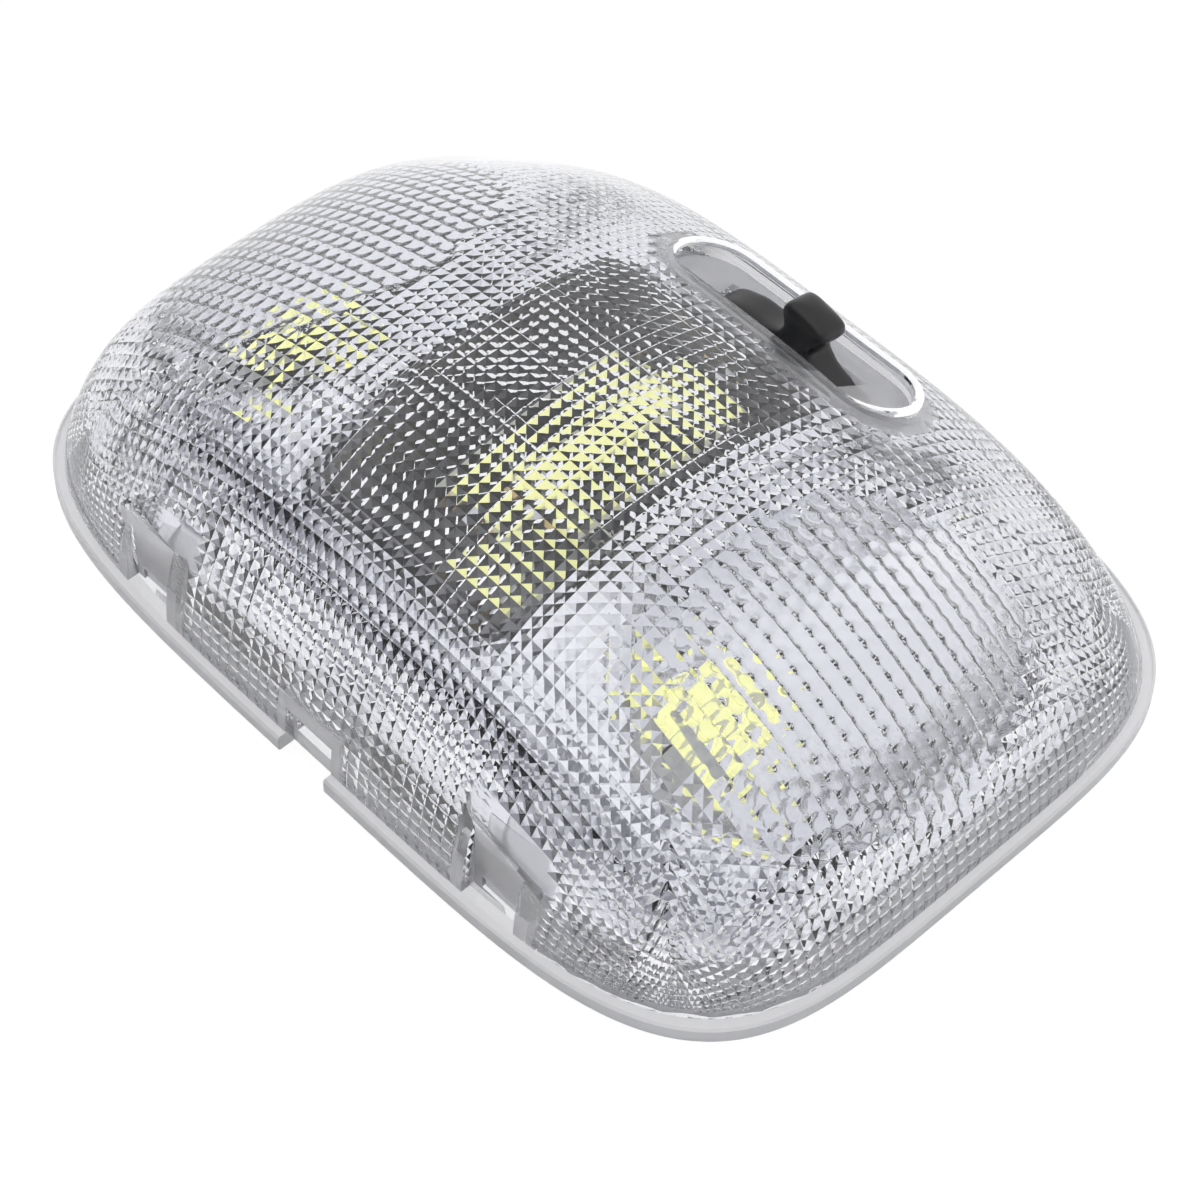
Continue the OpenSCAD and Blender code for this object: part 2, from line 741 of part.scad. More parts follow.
module centre_tray() {
    color([0.16, 0.16, 0.19])
    difference() {
        intersection() {
            translate([0, 0, tray_z]) linear_extrude(lens_h)
                rounded_rect(-tray_w / 2, tray_w / 2, -tray_front, tray_back, tray_r);
            deck_block();
        }
        translate([0, 0, tray_floor_z]) linear_extrude(lens_h)
            rounded_rect(-tray_w / 2 + tray_wall, tray_w / 2 - tray_wall,
                         -tray_front + tray_wall, tray_back - tray_wall, tray_r - tray_wall);
        for (p = screw_at) translate([p[0], p[1], 0]) cylinder(r = screw_r + 3 * thread_gap, h = lens_h);
    }
}

module tray_screws() {
    color([0.25, 0.25, 0.27])
    for (p = screw_at) translate([p[0], p[1], 0]) {
        translate([0, 0, floor_t + over / 2]) cylinder(r = screw_r, h = tray_floor_z - floor_t);
        difference() {
            translate([0, 0, tray_floor_z]) cylinder(r = screw_head_r, h = screw_head_h);
            for (q = [0, 90]) rotate([0, 0, q]) translate([0, 0, tray_floor_z + screw_head_h])
                cube([screw_head_r * 1.2, cross_w, screw_head_h], center = true);
        }
    }
}

module centre_lamp_board() {
    color([0.90, 0.91, 0.92])
    translate([-board_w / 2, lamp_mid_y - board_l / 2, lamp_axis_z - board_t / 2])
        cube([board_w, board_l, board_t]);
}

module centre_glow_layer() {
    color([0.91, 0.90, 0.42])
    translate([-board_w / 2 + glow_edge, lamp_mid_y - board_l / 2 + glow_edge, lamp_axis_z + board_t / 2])
        cube([board_w - 2 * glow_edge, board_l - 2 * glow_edge, glow_t]);
}

module centre_end_caps() {
    color([0.75, 0.75, 0.76])
    for (s = [-1, 1]) translate([0, lamp_mid_y + s * board_l / 2, lamp_axis_z]) rotate([-90 * s, 0, 0]) {
        cylinder(r = cap_r, h = cap_straight);
        translate([0, 0, cap_straight - eps]) cylinder(r1 = cap_r, r2 = cap_tip_r, h = cap_l - cap_straight);
    }
}

// Forked clip that an end cap snaps into
module clip(y) {
    half = cap_r + clip_t + clip_lip;
    color([0.80, 0.66, 0.36])
    translate([0, y - clip_t / 2, 0]) difference() {
        translate([-half, 0, tray_floor_z]) cube([2 * half, clip_t, lamp_axis_z + cap_r - tray_floor_z]);
        translate([0, -over, lamp_axis_z]) rotate([-90, 0, 0])
            cylinder(r = cap_r + pin_gap, h = clip_t + 2 * over);
        translate([-clip_mouth / 2, -over, lamp_axis_z]) cube([clip_mouth, clip_t + 2 * over, lens_h]);
    }
}

module front_clip() {
    clip(lamp_mid_y - board_l / 2 - cap_straight / 2);
}

module back_clip() {
    clip(lamp_mid_y + board_l / 2 + cap_straight / 2);
}

module side_socket(side) {
    color([0.88, 0.88, 0.86])
    intersection() {
        union() {
            at_side_lamp(side) translate([0, 0, -head_l / 2 - socket_l]) cylinder(r = socket_r, h = socket_l);
            translate([side * side_lamp_x - socket_r / 2, supply_y - strip_w / 2, floor_t + strip_t])
                cube([socket_r, return_y - supply_y + strip_w, side_lamp_z / 2]);
        }
        translate([-lens_l, -lens_w, floor_t + strip_t]) cube([2 * lens_l, 2 * lens_w, lens_h]);
    }
}

module left_socket() {
    side_socket(-1);
}

module right_socket() {
    side_socket(1);
}

module side_head(side) {
    color([0.93, 0.93, 0.90])
    at_side_lamp(side) translate([-head_w / 2, -head_w / 2, -head_l / 2]) cube([head_w, head_w, head_l]);
}

module left_lamp_head() {
    side_head(-1);
}

module right_lamp_head() {
    side_head(1);
}

// Chips in two columns of three on each long face, and two by two on the tip
module side_chips(side) {
    step = head_w / 2;
    row_step = head_l / 3;
    color([0.91, 0.90, 0.42])
    at_side_lamp(side) {
        for (q = [0:3]) rotate([0, 0, 90 * q]) for (c = [-0.5, 0.5]) for (r = [-1:1])
            translate([c * step, head_w / 2 + chip_t / 2, r * row_step])
                cube([chip_w, chip_t, chip_w], center = true);
        for (cx = [-0.5, 0.5]) for (cy = [-0.5, 0.5])
            translate([cx * step, cy * step, head_l / 2 + chip_t / 2])
                cube([chip_w, chip_w, chip_t], center = true);
    }
}

module left_lamp_chips() {
    side_chips(-1);
}

module right_lamp_chips() {
    side_chips(1);
}

// Half length of the knob at a share t of its height: flared foot, drawn-in neck, round head
function knob_half(t) =
    t < neck_at ? knob_l / 2 - knob_neck + (knob_flare + knob_neck) * pow(1 - t / neck_at, 2)
    : t < head_at ? knob_l / 2 - knob_neck * (1 + cos(180 * (t - neck_at) / (head_at - neck_at))) / 2
    : knob_l / 2 * sqrt(1 - pow((t - head_at) / (1 - head_at), 2));

// Point on top of the wings at an angle from the knob
function wing_point(turn) =
    [wing_r * sin(turn), wing_r * cos(turn) - wing_dip * pow(cos(90 * turn / wing_angle), 2)];

// Point on the knob's end, over the curve of the wings
function knob_point(side, t) =
    let (half = knob_half(t))
    [side * half, wing_point(asin(half / wing_r)).y + knob_h * t];

// Outline of the knob seen along the pivot
function knob_profile() = concat(
    [[-knob_half(0), knob_root]],
    [for (k = [0:knob_n]) knob_point(-1, sin(90 * k / knob_n))],
    [for (k = [knob_n - 1:-1:0]) knob_point(1, sin(90 * k / knob_n))],
    [[knob_half(0), knob_root]]
);

function knob_side_profile() = concat(
    [[-knob_w / 2, wing_r - wing_t]],
    [for (t = [180:-20:0]) [knob_w / 2 * cos(t), knob_top - knob_side_dome * (1 - sin(t))]],
    [[knob_w / 2, wing_r - wing_t]]
);

module knob() {
    intersection() {
        translate([0, knob_w / 2, 0]) rotate([90, 0, 0]) linear_extrude(knob_w) polygon(knob_profile());
        translate([-knob_l, 0, 0]) rotate([90, 0, 90])
            linear_extrude(2 * knob_l) polygon(knob_side_profile());
    }
}

module wings() {
    inner = wing_r - wing_t;
    translate([0, wing_w / 2, 0]) rotate([90, 0, 0]) linear_extrude(wing_w)
        polygon(concat([for (k = [-wing_n:wing_n]) wing_point(wing_angle * k / wing_n)],
                       [for (k = [wing_n:-1:-wing_n]) let (t = wing_angle * k / wing_n)
                           inner * [sin(t), cos(t)]]));
}

module switch_lever() {
    color([0.05, 0.05, 0.06])
    at_lever() difference() {
        union() {
            along_pivot() cylinder(r = hub_r, h = hub_w, center = true);
            translate([-arm_half_l, -arm_half_w, 0])
                cube([2 * arm_half_l, 2 * arm_half_w, knob_root]);
            translate([0, spring_w / 2, 0]) rotate([90, 0, 0]) linear_extrude(spring_w)
                polygon([[-nose_root, -nose_root], [-nose_tip, -nose_drop], [nose_tip, -nose_drop],
                         [nose_root, -nose_root]]);
            wings();
            knob();
        }
        along_pivot() cylinder(r = pin_r + pin_gap, h = hub_w + 2 * over, center = true);
    }
}

module switch_pivot_pin() {
    color([0.70, 0.71, 0.73])
    at_pivot() along_pivot() cylinder(r = pin_r, h = 2 * (cheek_out + pin_end), center = true);
}

module switch_bracket() {
    color([0.15, 0.15, 0.16])
    difference() {
        union() {
            intersection() {
                at_pivot() for (s = [-1, 1])
                    translate([-cheek_half_l, s * (cheek_in + cheek_t / 2) - cheek_t / 2, -2 * pivot_z])
                        cube([2 * cheek_half_l, cheek_t, 2 * pivot_z + cheek_h]);
                translate([-lens_l, -lens_w, floor_t + bracket_t / 2]) cube([2 * lens_l, 2 * lens_w, lens_h]);
            }
            translate([switch_x - foot_half_l, pivot_y + foot_front, floor_t])
                cube([2 * foot_half_l, foot_back - foot_front, bracket_t]);
        }
        at_pivot() along_pivot() cylinder(r = pin_r + pin_gap, h = 4 * cheek_out, center = true);
    }
}

function detent_r(t) = nose_drop + detent_gap + detent_depth * (1 + cos(360 * t / lever_travel)) / 2;

// Leaf with three shallow dimples under the lever's nose, standing on two legs
module detent_spring() {
    end = detent_spread;
    turn = end - 4;
    inner = [for (t = [-end:2:end]) detent_r(t) * [sin(t), -cos(t)]];
    outer = [for (t = [turn:-2:-turn]) (detent_r(t) + spring_t) * [sin(t), -cos(t)]];
    leg_x = (detent_r(turn) + spring_t) * sin(turn) + spring_t / 4;
    top = -detent_r(end) * cos(end);
    foot = -pivot_z;
    right = [[leg_x + spring_t, top], [leg_x + spring_t, foot], [leg_x, foot]];
    left = [[-leg_x, foot], [-leg_x - spring_t, foot], [-leg_x - spring_t, top]];
    color([0.72, 0.73, 0.75])
    intersection() {
        at_pivot() translate([0, spring_w / 2, 0]) rotate([90, 0, 0]) linear_extrude(spring_w)
            polygon(concat(inner, right, outer, left));
        translate([-lens_l, -lens_w, floor_t + bracket_t]) cube([2 * lens_l, 2 * lens_w, lens_h]);
    }
}

module switch_wiper() {
    color([0.80, 0.66, 0.36])
    at_lever() translate([-wiper_half_l, arm_half_w, hub_r + contact_room / 2])
        cube([2 * wiper_half_l, wiper_t, contact_h + contact_room]);
}

module switch_contacts() {
    color([0.80, 0.66, 0.36])
    at_pivot() for (t = [-1:1])
        translate([t * contact_pitch - contact_w / 2, cheek_in - contact_t, hub_r + contact_room])
            cube([contact_w, contact_t, contact_h]);
}

// Strip along X that both side lamps stand on, with a riser to its connector pin
module supply_strip() {
    color([0.80, 0.66, 0.36]) {
        translate([-strip_reach, supply_y - strip_w / 2, floor_t]) cube([2 * strip_reach, strip_w, strip_t]);
        pin_riser(-1, supply_y);
    }
}

// From a pin's top over the back of the connector and down to the floor
module pin_riser(k, y_end) {
    back = -plug_y + plug_out_w / 2 + riser_gap;
    translate([k * pin_pitch - strip_w / 2, 0, 0]) {
        translate([0, -plug_y + pin_t / 2, plug_top])
            cube([strip_w, back + plug_y - pin_t / 2 + strip_t, strip_t]);
        translate([0, back, floor_t]) cube([strip_w, strip_t, plug_top - floor_t + strip_t]);
        translate([0, back, floor_t]) cube([strip_w, y_end - back, strip_t]);
    }
}

// Strip along X with a branch to the switch, beside the middle strip
module return_strip() {
    mid = -1.5 * strip_w - strip_gap;
    color([0.80, 0.66, 0.36]) {
        translate([-strip_reach, return_y - strip_w / 2, floor_t]) cube([2 * strip_reach, strip_w, strip_t]);
        translate([mid, return_y, floor_t]) cube([strip_w, pivot_y - return_y, strip_t]);
    }
}

// Strip that hops over the two cross strips and runs back to the switch bracket
module hop_strip(k) {
    back = -plug_y + plug_out_w / 2 + riser_gap;
    hop_z = floor_t + 3 * strip_t;
    land = return_y + strip_w;
    translate([k * pin_pitch - strip_w / 2, 0, 0]) {
        translate([0, -plug_y + pin_t / 2, plug_top])
            cube([strip_w, back + plug_y - pin_t / 2 + strip_t, strip_t]);
        translate([0, back, hop_z]) cube([strip_w, strip_t, plug_top - hop_z + strip_t]);
        translate([0, back, hop_z]) cube([strip_w, land - back, strip_t]);
        translate([0, land - strip_t, floor_t]) cube([strip_w, strip_t, hop_z - floor_t]);
        translate([0, land - strip_t, floor_t])
            cube([strip_w, pivot_y + foot_front - land + strip_t - edge_gap, strip_t]);
    }
}

module ground_strip() {
    color([0.80, 0.66, 0.36]) hop_strip(0);
}

module door_strip() {
    color([0.80, 0.66, 0.36]) hop_strip(1);
}

module connector_pins() {
    color([0.80, 0.66, 0.36])
    for (k = [-1:1])
        translate([k * pin_pitch - pin_w / 2, -plug_y - pin_t / 2, pin_tip_z])
            cube([pin_w, pin_t, plug_top + pin_rise - pin_tip_z]);
}

lens();
base_housing();
reflector();
centre_tray();
tray_screws();
centre_lamp_board();
centre_glow_layer();
centre_end_caps();
front_clip();
back_clip();
left_socket();
right_socket();
left_lamp_head();
right_lamp_head();
left_lamp_chips();
right_lamp_chips();
switch_lever();
switch_pivot_pin();
switch_bracket();
detent_spring();
switch_wiper();
switch_contacts();
supply_strip();
return_strip();
ground_strip();
door_strip();
connector_pins();
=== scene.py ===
import json
import math

import bpy
import numpy as np
from mathutils import Matrix, Vector


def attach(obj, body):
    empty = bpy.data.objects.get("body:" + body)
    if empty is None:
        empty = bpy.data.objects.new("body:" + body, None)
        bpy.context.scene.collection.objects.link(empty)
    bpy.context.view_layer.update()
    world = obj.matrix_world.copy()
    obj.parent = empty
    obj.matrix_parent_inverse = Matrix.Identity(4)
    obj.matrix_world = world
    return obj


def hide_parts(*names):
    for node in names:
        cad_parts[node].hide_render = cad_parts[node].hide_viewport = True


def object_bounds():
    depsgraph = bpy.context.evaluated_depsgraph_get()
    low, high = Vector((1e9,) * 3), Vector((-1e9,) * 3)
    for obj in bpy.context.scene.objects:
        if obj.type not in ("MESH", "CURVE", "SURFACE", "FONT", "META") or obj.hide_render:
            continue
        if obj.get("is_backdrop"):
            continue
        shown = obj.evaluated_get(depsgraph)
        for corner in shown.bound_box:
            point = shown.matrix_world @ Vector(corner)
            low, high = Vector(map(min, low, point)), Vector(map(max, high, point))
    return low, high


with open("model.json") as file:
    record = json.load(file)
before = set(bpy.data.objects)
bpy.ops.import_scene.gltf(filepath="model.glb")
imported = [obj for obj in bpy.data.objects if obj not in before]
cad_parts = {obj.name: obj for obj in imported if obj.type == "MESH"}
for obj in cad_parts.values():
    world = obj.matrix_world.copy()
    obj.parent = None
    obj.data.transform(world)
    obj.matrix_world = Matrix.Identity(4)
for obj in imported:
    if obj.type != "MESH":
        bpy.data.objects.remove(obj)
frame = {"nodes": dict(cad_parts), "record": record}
lowAtLoad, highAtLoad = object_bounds()
nodes = frame["nodes"]
mm = 0.001


# colours and materials

def linearColour(code):
    parts = [int(code[i:i + 2], 16) / 255 for i in (1, 3, 5)]
    return [c / 12.92 if c <= 0.04045 else ((c + 0.055) / 1.055) ** 2.4 for c in parts] + [1.0]


def addNode(tree, kind, values=None, **settings):
    node = tree.nodes.new(kind)
    for key, value in settings.items():
        setattr(node, key, value)
    for key, value in (values or {}).items():
        if isinstance(value, bpy.types.NodeSocket):
            tree.links.new(value, node.inputs[key])
        else:
            node.inputs[key].default_value = value
    return node


# how every finish reads its grain and cloud, with the usual height of the bump in mm; the grain of real
# moulded plastic and rolled metal is finer than 0.1 mm, and is drawn 0.3 to 1.2 mm coarse so that it shows
noise = {"grainDetail": 3.0, "cloudDetail": 2.0, "cloudLow": 0.3, "cloudHigh": 0.7, "bumpHeight": 0.02}


def makeMaterial(name, look):
    # grain and cloud are sizes in mm: the grain lifts the surface, the cloud shifts its colour and gloss
    mat = bpy.data.materials.new(name)
    mat.use_nodes = True
    tree = mat.node_tree
    tree.nodes.clear()
    place = addNode(tree, "ShaderNodeTexCoord").outputs["Object"]
    grain = addNode(tree, "ShaderNodeTexNoise", {
        "Vector": place, "Scale": 1 / (look["grain"] * mm), "Detail": noise["grainDetail"]})
    cloud = addNode(tree, "ShaderNodeTexNoise", {
        "Vector": place, "Scale": 1 / (look["cloud"] * mm), "Detail": noise["cloudDetail"]})
    smoothest, roughest = look["roughness"]
    rough = addNode(tree, "ShaderNodeMapRange", {
        "Value": cloud.outputs["Fac"], "From Min": noise["cloudLow"], "From Max": noise["cloudHigh"],
        "To Min": smoothest, "To Max": roughest})
    mix = addNode(tree, "ShaderNodeMix", {
        "Factor": cloud.outputs["Fac"], "A": linearColour(look["colour"]),
        "B": linearColour(look.get("second", look["colour"]))}, data_type="RGBA")
    bump = addNode(tree, "ShaderNodeBump", {
        "Height": grain.outputs["Fac"], "Strength": look["bump"],
        "Distance": look.get("bumpHeight", noise["bumpHeight"]) * mm})
    shader = addNode(tree, "ShaderNodeBsdfPrincipled", {
        "Roughness": rough.outputs["Result"], "Normal": bump.outputs["Normal"]})
    colour = mix.outputs["Result"]
    if "front" in look:
        # painted highlight: a lighter tone towards the lamp's front edge, from one Y to another, standing in
        # for light caught there
        code, start, end = look["front"]
        along = addNode(tree, "ShaderNodeSeparateXYZ", {"Vector": place}).outputs["Y"]
        share = addNode(tree, "ShaderNodeMapRange", {
            "Value": along, "From Min": start * mm, "From Max": end * mm})
        front = addNode(tree, "ShaderNodeMix", {
            "Factor": share.outputs["Result"], "A": colour, "B": linearColour(code)}, data_type="RGBA")
        colour = front.outputs["Result"]
    tree.links.new(colour, shader.inputs["Base Color"])
    for key, value in look.get("sockets", {}).items():
        shader.inputs[key].default_value = value
    addNode(tree, "ShaderNodeOutputMaterial", {"Surface": shader.outputs["BSDF"]})
    return mat


def dress(obj, material):
    obj.data.materials.clear()
    obj.data.materials.append(material)


# meshes: points of the small shapes are in mm, finished meshes in metres

def meshObject(name, points, faces):
    data = bpy.data.meshes.new(name)
    data.from_pydata([tuple(p) for p in points], [], [tuple(f) for f in faces])
    data.update()
    obj = bpy.data.objects.new(name, data)
    bpy.context.collection.objects.link(obj)
    return obj


def bake(obj):
    # the modifiers' result becomes the mesh
    graph = bpy.context.evaluated_depsgraph_get()
    done = bpy.data.meshes.new_from_object(obj.evaluated_get(graph))
    obj.modifiers.clear()
    obj.data = done


def carve(obj, tool, operation="DIFFERENCE"):
    mod = obj.modifiers.new("cut", "BOOLEAN")
    mod.operation = operation
    mod.solver = "MANIFOLD"
    mod.object = tool
    bake(obj)
    bpy.data.objects.remove(tool)


def smoothByAngle(obj, degrees):
    obj.data.polygons.foreach_set("use_smooth", [True] * len(obj.data.polygons))
    obj.data.set_sharp_from_angle(angle=math.radians(degrees))


def boxObject(low, high):
    (x0, y0, z0), (x1, y1, z1) = low, high
    points = [Vector((x, y, z)) * mm for z in (z0, z1) for y in (y0, y1) for x in (x0, x1)]
    return meshObject("box", points, [
        (0, 2, 3, 1), (4, 5, 7, 6), (0, 1, 5, 4), (1, 3, 7, 5), (3, 2, 6, 7), (2, 0, 4, 6)])


def prismObject(ring, low, high, place):
    count = len(ring)
    points = [place @ Vector((x, y, z)) * mm for z in (low, high) for x, y in ring]
    faces = [tuple(range(count - 1, -1, -1)), tuple(range(count, 2 * count))]
    faces += [(k, (k + 1) % count, count + (k + 1) % count, count + k) for k in range(count)]
    return meshObject("prism", points, faces)


def tubeRing(path, radius, place, sides=12):
    count = len(path)
    points, faces = [], []
    for k in range(count):
        before, after = Vector(path[k - 1]), Vector(path[(k + 1) % count])
        run = (after - before).normalized()
        side = Vector((run.y, -run.x))
        for s in range(sides):
            a = 2 * math.pi * s / sides
            spot = Vector(path[k]) + side * (radius * math.cos(a))
            points.append(place @ Vector((spot.x, spot.y, radius * math.sin(a))) * mm)
    for k in range(count):
        for s in range(sides):
            a, b = k * sides + s, k * sides + (s + 1) % sides
            c, d = ((k + 1) % count) * sides + (s + 1) % sides, ((k + 1) % count) * sides + s
            faces.append((a, b, c, d))
    return meshObject("tube", points, faces)


def stadiumRing(halfLength, halfWidth, segments=24):
    ring = []
    for side in (1, -1):
        for k in range(segments + 1):
            a = math.pi * (k / segments - 0.5)
            ring.append((side * (halfLength - halfWidth + halfWidth * math.cos(a)),
                         side * halfWidth * math.sin(a)))
    return ring


def arcPoints(radius, start, end, count):
    return [(radius * math.cos(t), radius * math.sin(t)) for t in np.radians(np.linspace(start, end, count))]


def fullCircle(radius, count):
    return arcPoints(radius, 0, 360 - 360 / count, count)


# how far the cutting shapes reach past what they cut, in mm; a hair keeps added walls off the roof plane
past = {"hair": 0.001, "well": 3, "window": 9, "slot": 1, "notchTop": 2, "notchFront": 6, "notchFoot": 1,
        "notchBack": 3, "trayLow": 6, "trayHigh": 50}


# dome of the lens in mm: the powers square its plan and its crown, and lean moves the crown to the front
dome = {"halfX": 78.5, "halfY": 56.0, "height": 45.0, "wall": 2.4, "edge": 1.0,
        "rimOut": 1.5, "rimHeight": 3.0, "rimRound": 0.35, "rimFoot": 0.3,
        "planPower": 4.46, "crownPower": 2.68, "lean": 0.18, "leanFade": 16, "crownFade": 12,
        "shoulder": 1.92, "round": 2.33}
outerSize = (dome["halfX"], dome["halfY"], dome["height"])
innerSize = tuple(size - dome["wall"] for size in outerSize)


def superNorm(u, v, power):
    return (u ** power + v ** power + 1e-12) ** (1 / power)


def domeHeight(x, y, size):
    halfX, halfY, height = size
    u = np.minimum(np.abs(x) / halfX, 1)
    across = np.clip(y / halfY, -1, 1)
    fade = 1 - np.minimum(1, superNorm(u, np.abs(across), dome["planPower"])) ** dome["leanFade"]
    v = np.abs(across + dome["lean"] * fade * (1 - across ** 2))
    spread = np.minimum(superNorm(u, v, dome["planPower"]), 1) ** dome["crownFade"]
    power = dome["crownPower"] + (dome["planPower"] - dome["crownPower"]) * spread
    r = np.minimum(1, superNorm(u, v, power))
    rise = np.maximum(0, 1 - r ** dome["shoulder"]) ** (1 / dome["round"])
    return dome["edge"] + (height - dome["edge"]) * rise


def heightAt(x, y):
    return float(domeHeight(np.array(x), np.array(y), outerSize))


def evenSteps(along, fixed, step, samples=4001):
    # places that are evenly spaced over the inner surface, as shares of the half size
    t = np.linspace(-1, 1, samples)
    half = innerSize[0] if along == "x" else innerSize[1]
    x, y = (t * half, fixed + 0 * t) if along == "x" else (fixed + 0 * t, t * half)
    z = domeHeight(x, y, innerSize)
    run = np.concatenate([[0], np.cumsum(np.hypot(np.diff(t * half), np.diff(z)))])
    count = 2 * round(run[-1] / step / 2)
    return np.interp(np.linspace(0, run[-1], count + 1), run, t)


# switch well and the room for the lever in mm, with angles in degrees
well = {"y": 35.4, "sink": 1.1, "tilt": 23.0, "halfLength": 22.5, "halfWidth": 7.2, "depth": 2.0,
        "wall": 1.5, "bead": 0.8, "bareBand": 2.2, "slotShift": 1.0}
switch = {"tilt": 12.0, "rise": 4.0, "halfWidth": 3.2, "lensGap": 0.35, "swingGap": 1.2, "swing": 58.0,
          "slotPoints": 120, "swingPoints": 49}

# the record gives the lever's pivot, and the well follows the dome over it
pivot = Vector(frame["record"]["behaviour"]["joints"][0]["pos_m"]) / mm
wellMiddle = Vector((pivot.x, well["y"], heightAt(0.0, well["y"]) - well["sink"]))
wellFrame = Matrix.Translation(wellMiddle) @ Matrix.Rotation(-math.radians(well["tilt"]), 4, "X")
slotMiddle = wellFrame @ Vector((0, -well["slotShift"], -well["depth"]))
wingRadius = (slotMiddle - pivot).length + switch["rise"]
pivotFrame = Matrix.Translation(pivot) @ Matrix.Rotation(-math.radians(switch["tilt"]), 4, "X")
alongPivot = pivotFrame @ Matrix.Rotation(math.radians(-90), 4, "X")


def inWellFrame(points):
    toWell = np.array(wellFrame.inverted())
    return points @ toWell[:3, :3].T + toWell[:3, 3]


def nearWell(local):
    # within the band round the well that has no optics
    pastStraight = np.maximum(np.abs(local[..., 0]) - (well["halfLength"] - well["halfWidth"]), 0)
    return np.hypot(pastStraight, local[..., 1]) < well["halfWidth"] + well["wall"] + well["bareBand"]


# lens in mm: pyramids inside, and pillows in two ovals (middle x, middle y, half x, half y) over the bowls
lensLook = {"pitch": 2.2, "pyramid": 0.49, "pillow": 0.8, "pillowSteps": 5, "oval": (53.5, -3.0, 20.0, 29.0),
            "plainBelow": 2.4, "plainFront": -49, "plainMargin": 1, "stepsThrough": -10,
            "squareFrom": 0.15, "squarePower": 6,
            "windowX": 37.5, "windowWidth": 10.0, "windowDepth": 4.5, "windowWall": 1.8, "windowSide": 2.5,
            "windowSink": 0.3, "slotWidth": 7.2, "slotHeight": 2.5,
            "notchWidth": 10.0, "notchDepth": 3.0, "notchHeight": 8.5, "notchWall": 2.0, "notchSide": 1.5,
            "notchLip": 1.0, "notchSill": 0.3, "smooth": 28}
windowY = -(dome["halfY"] + dome["rimOut"] - lensLook["windowDepth"])
notchY = -(dome["halfY"] + dome["rimOut"] - lensLook["notchDepth"])
windowHalf = lensLook["windowWidth"] / 2 + lensLook["windowSide"]
notchHalf = lensLook["notchWidth"] / 2 + lensLook["notchSide"]


def latticeShares():
    # lines a quarter of a pitch apart, squared in the middle and bent to the plan's outline at the edge
    step = lensLook["pitch"] / 4
    shareX, shareY = np.meshgrid(evenSteps("x", lensLook["stepsThrough"], step), evenSteps("y", 0, step),
                                 indexing="ij")
    most = np.maximum(np.maximum(np.abs(shareX), np.abs(shareY)), 1e-6)
    power = dome["planPower"] / np.maximum(most, lensLook["squareFrom"]) ** lensLook["squarePower"]
    squeeze = 1 / ((np.abs(shareX) / most) ** power + (np.abs(shareY) / most) ** power) ** (1 / power)
    return shareX * squeeze, shareY * squeeze


def pressOptics(inner):
    # moves the inner surface's points to the tips of the pyramids and over the pillows
    normal = np.cross(np.gradient(inner, axis=0), np.gradient(inner, axis=1))
    normal /= np.maximum(np.linalg.norm(normal, axis=-1, keepdims=True), 1e-9)
    rows, columns = inner.shape[:2]
    i, j = np.meshgrid(np.arange(rows), np.arange(columns), indexing="ij")
    x, y, z = inner[..., 0], inner[..., 1], inner[..., 2]
    nearWindow = np.abs(np.abs(x) - lensLook["windowX"]) < windowHalf + lensLook["plainMargin"]
    bare = nearWell(inWellFrame(inner)) | (z < lensLook["plainBelow"])
    bare |= nearWindow & (y < lensLook["plainFront"])

    # rows of pillows are set off by half a pillow, like fish scales, and a pillow's middle lies in the oval
    middleX, middleY, halfX, halfY = lensLook["oval"]
    wide = lensLook["pillowSteps"]
    inOval = ~bare & (np.hypot((np.abs(x) - middleX) / halfX, (y - middleY) / halfY) < 1)
    offset = (j // wide % 2) * wide / 2
    middleI = np.clip((i + offset) // wide * wide + wide / 2 - offset, 0, rows - 1).astype(int)
    middleJ = np.minimum(j // wide * wide + wide // 2, columns - 1)
    pillows = inOval[middleI, middleJ] & ~bare
    tip = (i % 4 == 2) & (j % 4 == 2) & ~bare & ~pillows
    drop = np.where(tip, lensLook["pyramid"], 0.0)
    tx, ty = ((i + offset) % wide) / (wide / 2) - 1, (j % wide) / (wide / 2) - 1
    drop = np.where(pillows, lensLook["pillow"] * (1 - (tx ** 2 + ty ** 2) / 2), drop)
    return inner - normal * drop[..., None], pillows[1::2, 1::2]


